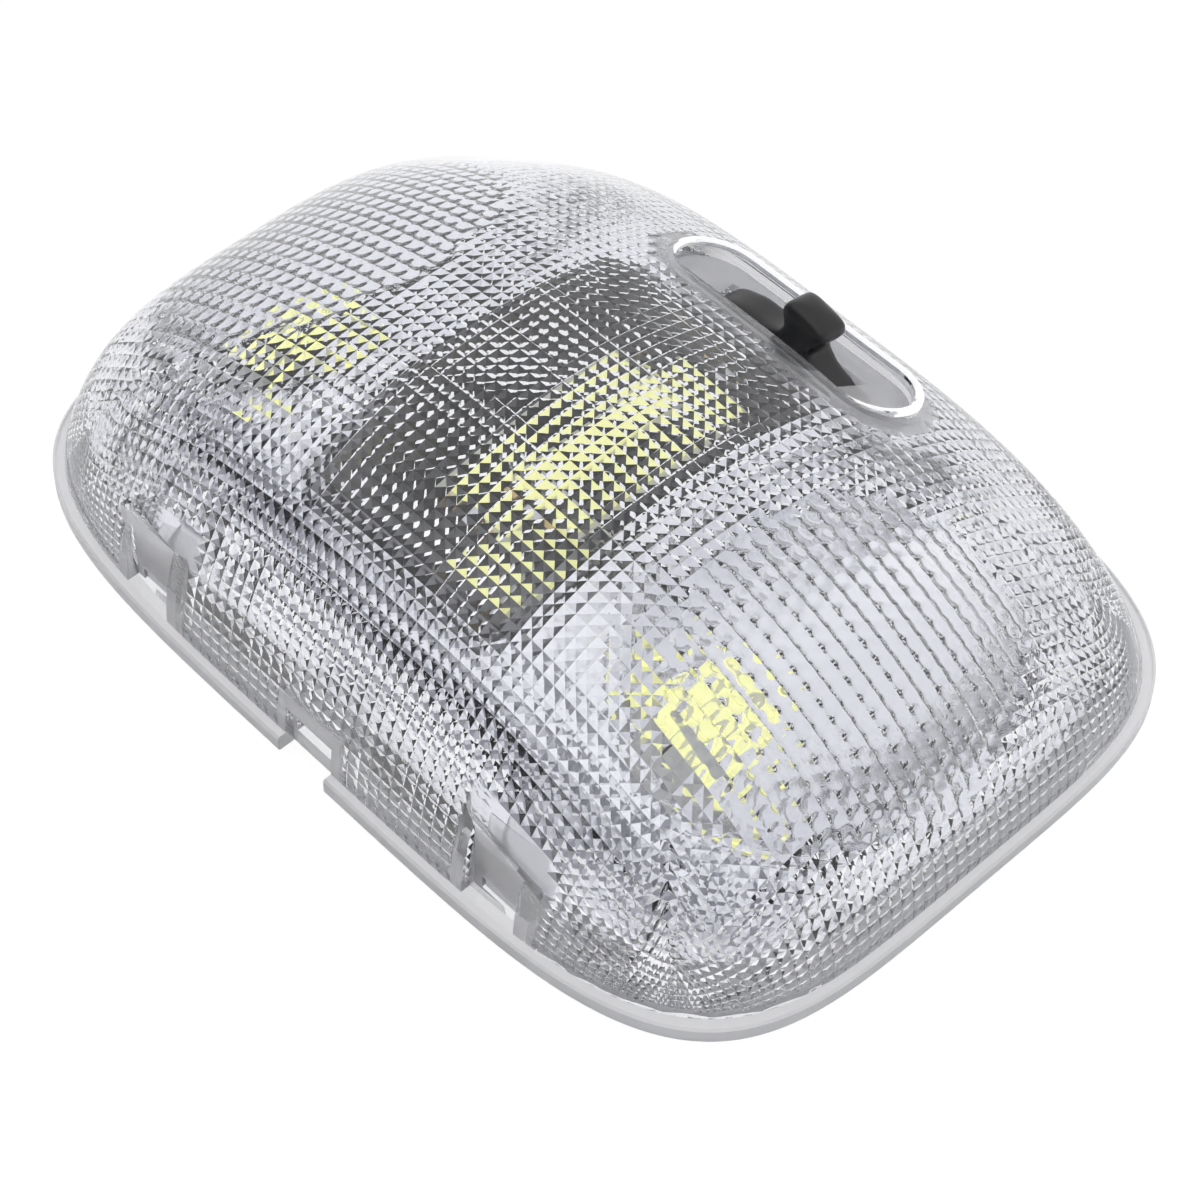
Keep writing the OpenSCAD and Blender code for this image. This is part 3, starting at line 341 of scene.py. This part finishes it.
def domeShell():
    shareX, shareY = latticeShares()

    def surface(size, lowest):
        x, y = shareX * size[0], shareY * size[1]
        return np.stack([x, y, np.maximum(lowest, domeHeight(x, y, size))], axis=-1)

    outer = surface(outerSize, dome["rimHeight"])
    inner, cellPillow = pressOptics(surface(innerSize, dome["edge"]))

    # every other line is used, and the points between them where pillows need them
    coarse = np.zeros(shareX.shape, bool)
    coarse[::2, ::2] = True
    used = coarse.copy()
    for a, b in zip(*np.nonzero(cellPillow)):
        used[2 * a:2 * a + 3, 2 * b:2 * b + 3] = True
    above = np.arange(coarse.sum()).reshape(coarse[::2, ::2].shape)
    below = -np.ones(shareX.shape, int)
    below[used] = above.size + np.arange(used.sum())
    points = [outer[coarse], inner[used]]
    a, b, c, e = above[:-1, :-1], above[1:, :-1], above[1:, 1:], above[:-1, 1:]
    faces = list(zip(a.ravel(), b.ravel(), c.ravel(), e.ravel()))

    def withMiddles(corners):
        # a face's corners, with the points that lie halfway along its sides
        face = []
        for k, (p, q) in enumerate(corners):
            p2, q2 = corners[(k + 1) % len(corners)]
            face.append(below[p, q])
            if (p == p2 or q == q2) and below[(p + p2) // 2, (q + q2) // 2] >= 0:
                face.append(below[(p + p2) // 2, (q + q2) // 2])
        return face

    for a, b in np.ndindex(cellPillow.shape):
        p, q = 2 * a, 2 * b
        if cellPillow[a, b]:
            for s, t in ((0, 0), (1, 0), (0, 1), (1, 1)):
                faces.append((below[p + s, q + t], below[p + s, q + t + 1],
                              below[p + s + 1, q + t + 1], below[p + s + 1, q + t]))
        elif (a + b) % 2 == 0:
            faces.append(withMiddles([(p, q), (p + 2, q + 2), (p + 2, q)]))
            faces.append(withMiddles([(p, q), (p, q + 2), (p + 2, q + 2)]))
        else:
            faces.append(withMiddles([(p, q), (p, q + 2), (p + 2, q)]))
            faces.append(withMiddles([(p + 2, q), (p, q + 2), (p + 2, q + 2)]))

    # flange round the edge, from the outer skin down and in to the inner skin
    ring = list(above[:, 0]) + list(above[-1, 1:]) + list(above[-2::-1, -1]) + list(above[0, -2:0:-1])
    ringX, ringY = shareX[coarse][ring], shareY[coarse][ring]
    count = len(ring)
    outX, outY = dome["halfX"] + dome["rimOut"], dome["halfY"] + dome["rimOut"]
    rounding, foot = dome["rimRound"], dome["rimFoot"]
    levels = [(outX - rounding, outY - rounding, dome["rimHeight"]),
              (outX, outY, dome["rimHeight"] - rounding),
              (outX, outY, foot), (outX - foot, outY - foot, 0.0), (innerSize[0], innerSize[1], 0.0)]
    start = above.size + int(used.sum())
    for halfX, halfY, level in levels:
        points.append(np.stack([ringX * halfX, ringY * halfY, np.full(count, level)], axis=-1))
    chains = [ring] + [[start + n * count + k for k in range(count)] for n in range(len(levels))]
    chains.append([below[::2, ::2].ravel()[k] for k in ring])
    for upper, lower in zip(chains, chains[1:]):
        for k in range(count):
            n = (k + 1) % count
            faces.append((upper[n], upper[k], lower[k], lower[n]))
    return meshObject("lens_clear", np.concatenate(points) * mm, faces)


def addWell(lens):
    middleOfWall = stadiumRing(well["halfLength"] + well["wall"] / 2, well["halfWidth"] + well["wall"] / 2)
    through = 2 * dome["wall"] + well["depth"]
    carve(lens, prismObject(middleOfWall, -through, through, wellFrame))
    outline = stadiumRing(well["halfLength"] + well["wall"], well["halfWidth"] + well["wall"])
    cup = prismObject(outline, -well["depth"] - well["wall"], 0, wellFrame)
    inside = stadiumRing(well["halfLength"], well["halfWidth"])
    carve(cup, prismObject(inside, -well["depth"], past["well"], wellFrame))
    carve(cup, tubeRing(middleOfWall, well["bead"], wellFrame), "UNION")
    carve(lens, cup, "UNION")


def addWindows(lens):
    # a backing wall, the opening in front of it, and the slot that the base's snap finger takes
    look, rim = lensLook, dome["rimHeight"]
    for side in (-1, 1):
        middle = side * look["windowX"]
        half = windowHalf
        top = heightAt(abs(middle + half), windowY) - look["windowSink"]
        back = windowY + look["windowWall"]
        carve(lens, boxObject((middle - half, windowY, past["hair"]), (middle + half, back, top)), "UNION")
        half, front = look["windowWidth"] / 2, windowY - past["window"]
        carve(lens, boxObject((middle - half, front, rim), (middle + half, windowY, dome["height"])))
        half, front, back = look["slotWidth"] / 2, windowY - past["slot"], back + past["slot"]
        carve(lens, boxObject((middle - half, front, rim), (middle + half, back, rim + look["slotHeight"])))


def addNotch(lens):
    # the same for a screwdriver at the front: a wall, the notch, and a hole behind a lip
    look, half = lensLook, notchHalf
    back, top = notchY + look["notchWall"], look["notchHeight"] + past["notchTop"]
    carve(lens, boxObject((-half, notchY, 2 * past["hair"]), (half, back, top)), "UNION")
    half, front = look["notchWidth"] / 2, notchY - past["notchFront"]
    carve(lens, boxObject((-half, front, -past["notchFoot"]), (half, notchY, look["notchHeight"])))
    half -= look["notchLip"]
    foot, top = dome["rimHeight"] + look["notchSill"], look["notchHeight"] - look["notchLip"]
    front, back = notchY - past["slot"], notchY + past["notchBack"]
    carve(lens, boxObject((-half, front, foot), (half, back, top)))


def cutLeverSlot(lens):
    half = switch["halfWidth"] + switch["lensGap"]
    drum = fullCircle(wingRadius + switch["lensGap"], switch["slotPoints"])
    carve(lens, prismObject(drum, -half, half, alongPivot))


lens = domeShell()
addWell(lens)
addWindows(lens)
addNotch(lens)
cutLeverSlot(lens)
smoothByAngle(lens, lensLook["smooth"])

# clear polycarbonate from a polished mould: the eye reads the bright edges and the sparkle of the prisms
dress(lens, makeMaterial("polished_clear_polycarbonate", {
    "colour": "#f7f8fa", "grain": 0.8, "cloud": 30, "roughness": (0.0, 0.03), "bump": 0.02,
    "sockets": {"Transmission Weight": 0.99, "IOR": 1.586}}))
# the same plastic where the mould was spark eroded: a stipple that blurs what lies behind it, drawn coarser
# than the real 0.1 mm so that it shows
lens.data.materials.append(makeMaterial("stippled_clear_polycarbonate", {
    "colour": "#f1f1f3", "grain": 0.5, "cloud": 30, "roughness": (0.3, 0.4), "bump": 0.35, "bumpHeight": 0.06,
    "sockets": {"Transmission Weight": 0.8, "IOR": 1.586}}))

# where the stipple lies: on the rim, on the well's floor, and on the flat walls of windows and notch
stipple = {"rimTop": 3.1, "rimInside": 1.02, "floorAbove": 0.4, "deepest": 7.0, "reach": 0.1, "flat": 0.98}


def stippleLens():
    mesh = lens.data
    middles, normals = np.zeros(3 * len(mesh.polygons)), np.zeros(3 * len(mesh.polygons))
    mesh.polygons.foreach_get("center", middles)
    mesh.polygons.foreach_get("normal", normals)
    x, y, z = (middles.reshape(-1, 3) / mm).T
    plan = superNorm(np.abs(x) / innerSize[0], np.abs(y) / innerSize[1], dome["planPower"])
    rim = (z < stipple["rimTop"]) & (plan > stipple["rimInside"])
    local = inWellFrame(np.stack([x, y, z], axis=-1))
    low = (local[:, 2] < -well["depth"] + stipple["floorAbove"]) & (local[:, 2] > -stipple["deepest"])
    reach = stipple["reach"]
    window = np.abs(np.abs(x) - lensLook["windowX"]) < windowHalf + reach
    window &= y < windowY + lensLook["windowWall"] + reach
    notch = (np.abs(x) < notchHalf + reach) & (y < notchY + lensLook["notchWall"] + reach)
    flat = np.abs(normals.reshape(-1, 3)[:, 1]) > stipple["flat"]
    stippled = rim | (nearWell(local) & low) | (flat & (window | notch))
    mesh.polygons.foreach_set("material_index", stippled.astype(int))


stippleLens()
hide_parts("lens")
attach(lens, "housing")
print("lens", len(lens.data.polygons), "faces")


# reflector in mm: the CAD's curves on a finer grid, so that its bowls shine without facets
reflectorShape = {"size": (73.1, 50.6, 37.0), "edgeZ": 7.8, "thick": 1.8, "end": 0.965, "outlinePower": 4.0,
                  "bowl": (49.0, 3.6, 24.5, 38.0), "bowlZ": 9.0, "bowlPower": 4.0, "bowlSquare": 2.3,
                  "columns": 145, "rows": 101, "trayHole": (16.3, 18.8, -32.3, 5.3),
                  "lampAt": (44, -18.5, 20), "lampLean": -70, "lampHole": 6.5, "lampReach": 22,
                  "cornerPoints": 13, "lampPoints": 60, "smooth": 35}


def closerToEnds(count, pull=0.25):
    t = np.linspace(-1, 1, count)
    return (1 - pull) * t + pull * np.sin(t * math.pi / 2)


def buildReflector():
    r = reflectorShape
    nx, ny = r["columns"], r["rows"]
    halfX, halfY, _ = r["size"]
    v = r["end"] * closerToEnds(ny)
    y = halfY * v[:, None] + np.zeros((1, nx))
    outline = (1 - np.abs(v) ** r["outlinePower"]) ** (1 / r["outlinePower"])
    x = halfX * closerToEnds(nx)[None, :] * outline[:, None]
    deck = np.maximum(r["edgeZ"], domeHeight(x, y, r["size"]))
    middleX, middleY, bowlX, bowlY = r["bowl"]
    rho = superNorm(np.abs(np.abs(x) - middleX) / bowlX, np.abs(y - middleY) / bowlY, r["bowlSquare"])
    z = np.minimum(deck, r["bowlZ"]) + np.maximum(0, deck - r["bowlZ"]) * np.minimum(1, rho) ** r["bowlPower"]
    top = np.stack([x, y, z], axis=-1).reshape(-1, 3)
    low = top - (0, 0, r["thick"])
    layer = nx * ny
    grid = np.arange(layer).reshape(ny, nx)
    cells = [part.ravel() for part in (grid[:-1, :-1], grid[:-1, 1:], grid[1:, 1:], grid[1:, :-1])]
    faces = list(zip(*cells))
    faces += [(q + layer, p + layer, t + layer, s + layer) for p, q, s, t in zip(*cells)]
    rim = list(grid[0, :]) + list(grid[1:, -1]) + list(grid[-1, -2::-1]) + list(grid[-2:0:-1, 0])
    for k, p in enumerate(rim):
        q = rim[(k + 1) % len(rim)]
        faces.append((q, p, p + layer, q + layer))
    piece = meshObject("reflector_metallised", np.concatenate([top, low]) * mm, faces)

    # openings for the tray, the two side lamps and the lever's wings
    half, back, front, corner = r["trayHole"]
    hole = []
    for cx, cy, start in ((half, back, 0), (-half, back, 90), (-half, front, 180), (half, front, 270)):
        hole += [(cx + dx, cy + dy) for dx, dy in arcPoints(corner, start, start + 90, r["cornerPoints"])]
    carve(piece, prismObject(hole, past["trayLow"], past["trayHigh"], Matrix.Identity(4)))
    lampX, lampY, lampZ = r["lampAt"]
    for side in (-1, 1):
        lampFrame = Matrix.Translation(Vector((side * lampX, lampY, lampZ)))
        lampFrame = lampFrame @ Matrix.Rotation(math.radians(r["lampLean"]), 4, "X")
        carve(piece, prismObject(fullCircle(r["lampHole"], r["lampPoints"]), -r["lampReach"], 0, lampFrame))
    swing, half = switch["swing"], switch["halfWidth"] + switch["swingGap"]
    fan = arcPoints(wingRadius + switch["swingGap"], -90 - swing, -90 + swing, switch["swingPoints"])
    carve(piece, prismObject([(0, 0)] + fan, -half, half, alongPivot))
    smoothByAngle(piece, r["smooth"])
    return piece


reflector = buildReflector()
# vacuum metallised polycarbonate: a bright mirror with a slight haze, which gives the white and grey bands
dress(reflector, makeMaterial("vacuum_metallised_polycarbonate", {
    "colour": "#f4f4f6", "second": "#ececf0", "grain": 1.2, "cloud": 14, "roughness": (0.04, 0.09),
    "bump": 0.12, "sockets": {"Metallic": 1.0}}))
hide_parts("reflector")
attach(reflector, "housing")
print("reflector", len(reflector.data.polygons), "faces")


# the other pieces keep the CAD mesh and get their finish
finishes = {
    # moulded dark ABS, glossy: the dark chamber round the glow, with a painted highlight that greys its front
    # end as if light fell there
    "moulded_dark_abs": {
        "pieces": ["centre_tray"], "colour": "#1b1b20", "second": "#222228", "front": ("#9a9a9e", -18, -23),
        "grain": 0.6, "cloud": 12, "roughness": (0.25, 0.4), "bump": 0.1},
    # moulded white ABS, matt: a quiet pale ground that fills the lens's edge with soft light
    "moulded_white_abs": {
        "pieces": ["base_housing"], "colour": "#dddee0", "second": "#e2e3e4",
        "grain": 0.5, "cloud": 20, "roughness": (0.45, 0.6), "bump": 0.2},
    # steel blackened with oxide: small dark heads with a dull shine
    "black_oxide_steel": {
        "pieces": ["tray_screws"], "colour": "#1d1d1f",
        "grain": 0.3, "cloud": 2, "roughness": (0.35, 0.5), "bump": 0.1},
    # printed circuit board with white solder mask: a clean edge round the yellow field
    "white_solder_mask": {
        "pieces": ["centre_lamp_board"], "colour": "#eceded",
        "grain": 0.5, "cloud": 6, "roughness": (0.3, 0.45), "bump": 0.1},
    # phosphor in cast silicone: pale lemon yellow that looks lit from inside, with a slightly grainy skin
    "phosphor_silicone": {
        "pieces": ["centre_glow_layer", "left_lamp_chips", "right_lamp_chips"],
        "colour": "#f0f1a6", "second": "#f5f6bc", "grain": 0.4, "cloud": 3, "roughness": (0.35, 0.5),
        "bump": 0.2, "sockets": {"Emission Color": linearColour("#f3f3a4"), "Emission Strength": 0.7}},
    # brass caps plated with nickel: bright warm grey ends of the lamp
    "nickel_plated_brass": {
        "pieces": ["centre_end_caps"], "colour": "#d6d6d8",
        "grain": 0.4, "cloud": 3, "roughness": (0.15, 0.3), "bump": 0.1, "sockets": {"Metallic": 1.0}},
    # stamped brass strip: a hint of gold where clips and strips show through the lens
    "stamped_brass": {
        "pieces": ["front_clip", "back_clip", "switch_wiper", "switch_contacts", "supply_strip",
                   "return_strip", "ground_strip", "door_strip", "connector_pins"],
        "colour": "#d9bf84", "second": "#cdb277", "grain": 0.4, "cloud": 4, "roughness": (0.2, 0.35),
        "bump": 0.1, "sockets": {"Metallic": 1.0}},
    # moulded white nylon: plain sockets that stay in the background
    "moulded_white_nylon": {
        "pieces": ["left_socket", "right_socket"], "colour": "#e6e6e3",
        "grain": 0.5, "cloud": 5, "roughness": (0.35, 0.5), "bump": 0.1},
    # white ceramic board of the side lamps: the pale frame round their chips
    "white_lamp_ceramic": {
        "pieces": ["left_lamp_head", "right_lamp_head"], "colour": "#f0f0ec",
        "grain": 0.4, "cloud": 4, "roughness": (0.3, 0.45), "bump": 0.1},
    # moulded black nylon: the dark inside of the switch under its slot
    "moulded_black_nylon": {
        "pieces": ["switch_bracket"], "colour": "#1b1b1d",
        "grain": 0.5, "cloud": 5, "roughness": (0.4, 0.5), "bump": 0.1},
    # drawn steel: a plain grey shine on the pin and the spring
    "drawn_steel": {
        "pieces": ["switch_pivot_pin", "detent_spring"], "colour": "#c2c3c6",
        "grain": 0.3, "cloud": 2, "roughness": (0.2, 0.35), "bump": 0.05, "sockets": {"Metallic": 1.0}},
}
for title, look in finishes.items():
    material = makeMaterial(title, look)
    for name in look["pieces"]:
        dress(nodes[name], material)
print("finishes", len(finishes), "on", sum(len(look["pieces"]) for look in finishes.values()), "pieces")


# finger lever in mm: the CAD's shape, with the knob and wings softened as a moulding's edges are
leverLook = {"weld": 0.01, "voxel": 0.3, "softFrom": 15.5, "softFull": 17.5, "factor": 0.5, "rounds": 90,
             "smooth": 40}


def buildLever():
    piece = bpy.data.objects.new("switch_lever_black", nodes["switch_lever"].data.copy())
    bpy.context.collection.objects.link(piece)
    piece.modifiers.new("weld", "WELD").merge_threshold = leverLook["weld"] * mm
    even = piece.modifiers.new("even", "REMESH")
    even.mode = "VOXEL"
    even.voxel_size = leverLook["voxel"] * mm
    bake(piece)
    toPivot = pivotFrame.inverted()
    group = piece.vertex_groups.new(name="soft")
    for vertex in piece.data.vertices:
        spot = toPivot @ (vertex.co / mm)
        fromPivot = math.hypot(spot.x, spot.z) - leverLook["softFrom"]
        share = fromPivot / (leverLook["softFull"] - leverLook["softFrom"])
        group.add([vertex.index], min(1, max(0, share)), "REPLACE")
    soft = piece.modifiers.new("soft", "SMOOTH")
    soft.vertex_group = "soft"
    soft.factor = leverLook["factor"]
    soft.iterations = leverLook["rounds"]
    bake(piece)
    piece.vertex_groups.clear()
    smoothByAngle(piece, leverLook["smooth"])
    return piece


lever = buildLever()
# moulded black nylon with a satin skin: deep black with a broad soft highlight
dress(lever, makeMaterial("satin_black_nylon", {
    "colour": "#101012", "second": "#151517", "grain": 0.35, "cloud": 3, "roughness": (0.3, 0.42),
    "bump": 0.15}))
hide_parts("switch_lever")
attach(lever, "lever")
print("lever", len(lever.data.polygons), "faces")


# camera at the photograph's angle: degrees, with distance, aim and lens in mm
photoView = {"azimuth": 45.7, "elevation": 49.9, "roll": 1.22, "distance": 508.3, "aim": (0, 0, 15),
             "lens": 103.0, "sensor": 36.0, "shiftX": 0.0057, "shiftY": -0.0859}


def placeCamera():
    azimuth, elevation, roll = (math.radians(photoView[key]) for key in ("azimuth", "elevation", "roll"))
    back = Vector((math.sin(azimuth) * math.cos(elevation), -math.cos(azimuth) * math.cos(elevation),
                   math.sin(elevation)))
    right = Vector((math.cos(azimuth), math.sin(azimuth), 0))
    up = back.cross(right)
    across = right * math.cos(roll) + up * math.sin(roll)
    rise = up * math.cos(roll) - right * math.sin(roll)
    data = bpy.data.cameras.new("photo_camera")
    data.lens = photoView["lens"]
    data.sensor_width = photoView["sensor"]
    data.shift_x = photoView["shiftX"]
    data.shift_y = photoView["shiftY"]
    camera = bpy.data.objects.new("photo_camera", data)
    spot = Vector(photoView["aim"]) * mm + back * photoView["distance"] * mm
    camera.matrix_world = Matrix((
        (across.x, rise.x, back.x, spot.x), (across.y, rise.y, back.y, spot.y),
        (across.z, rise.z, back.z, spot.z), (0, 0, 0, 1)))
    bpy.context.collection.objects.link(camera)
    bpy.context.scene.camera = camera


placeCamera()
print("camera placed")


# white paper floor, sizes in metres: the glow is what the camera, gloss and clear plastic see of it
floorLook = {"half": 1.5, "drop": 0.0003, "colour": "#f2f2f2", "glowColour": "#ffffff", "glow": 1.12,
             "share": 0.8}
# bright room: a grey band halfway up gives the prisms their contrast, and the wall behind the lamp is pale
room = {"stops": ((0.0, "#ececee"), (0.06, "#e0e0e3"), (0.2, "#7a7a80"), (0.45, "#8a8a91"), (0.68, "#f8f8fa"),
                  (1.0, "#ffffff")),
        "wall": "#eaeaec", "wallTowards": (-0.1, 0.995, 0.0), "wallFrom": -0.3, "wallTo": 0.35,
        "strength": 1.22}


def layFloor():
    half = floorLook["half"]
    floor = meshObject("floor", [(-half, -half, 0), (half, -half, 0), (half, half, 0), (-half, half, 0)],
                       [(0, 1, 2, 3)])
    floor.location.z = -floorLook["drop"]
    paper = bpy.data.materials.new("white_paper_floor")
    paper.use_nodes = True
    tree = paper.node_tree
    tree.nodes.clear()
    path = addNode(tree, "ShaderNodeLightPath").outputs
    first = addNode(tree, "ShaderNodeMath", {
        0: path["Is Camera Ray"], 1: path["Is Transmission Ray"]}, operation="MAXIMUM")
    second = addNode(tree, "ShaderNodeMath", {
        0: first.outputs[0], 1: path["Is Glossy Ray"]}, operation="MAXIMUM")
    share = addNode(tree, "ShaderNodeMath", {
        0: second.outputs[0], 1: floorLook["share"]}, operation="MULTIPLY")
    matt = addNode(tree, "ShaderNodeBsdfDiffuse", {"Color": linearColour(floorLook["colour"])})
    glow = addNode(tree, "ShaderNodeEmission", {
        "Color": linearColour(floorLook["glowColour"]), "Strength": floorLook["glow"]})
    both = addNode(tree, "ShaderNodeMixShader", {0: share.outputs[0], 1: matt.outputs[0], 2: glow.outputs[0]})
    addNode(tree, "ShaderNodeOutputMaterial", {"Surface": both.outputs[0]})
    dress(floor, paper)
    floor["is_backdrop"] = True


def lightRoom():
    world = bpy.data.worlds.new("white_room")
    bpy.context.scene.world = world
    world.use_nodes = True
    tree = world.node_tree
    tree.nodes.clear()
    direction = addNode(tree, "ShaderNodeTexCoord").outputs["Generated"]
    height = addNode(tree, "ShaderNodeSeparateXYZ", {"Vector": direction}).outputs["Z"]
    ramp = addNode(tree, "ShaderNodeValToRGB", {"Fac": height})
    stops, codes = ramp.color_ramp.elements, room["stops"]
    for stop, (place, code) in ((stops[0], codes[0]), (stops[1], codes[-1])):
        stop.position, stop.color = place, linearColour(code)
    for place, code in codes[1:-1]:
        stops.new(place).color = linearColour(code)
    behind = addNode(tree, "ShaderNodeVectorMath", {
        0: direction, 1: room["wallTowards"]}, operation="DOT_PRODUCT")
    bright = addNode(tree, "ShaderNodeMapRange", {
        "Value": behind.outputs["Value"], "From Min": room["wallFrom"], "From Max": room["wallTo"]})
    wall = addNode(tree, "ShaderNodeMix", {
        "Factor": bright.outputs["Result"], "A": ramp.outputs["Color"], "B": linearColour(room["wall"])},
        data_type="RGBA")
    sky = addNode(tree, "ShaderNodeBackground", {
        "Color": wall.outputs["Result"], "Strength": room["strength"]})
    addNode(tree, "ShaderNodeOutputWorld", {"Surface": sky.outputs[0]})


layFloor()
lightRoom()
bpy.context.scene.view_settings.view_transform = "Standard"
print("floor and room set")

lowAtEnd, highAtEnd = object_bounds()
for stage, box in (("load", (*lowAtLoad, *highAtLoad)), ("finish", (*lowAtEnd, *highAtEnd))):
    print("size at", stage, [round(v / mm, 2) for v in box])
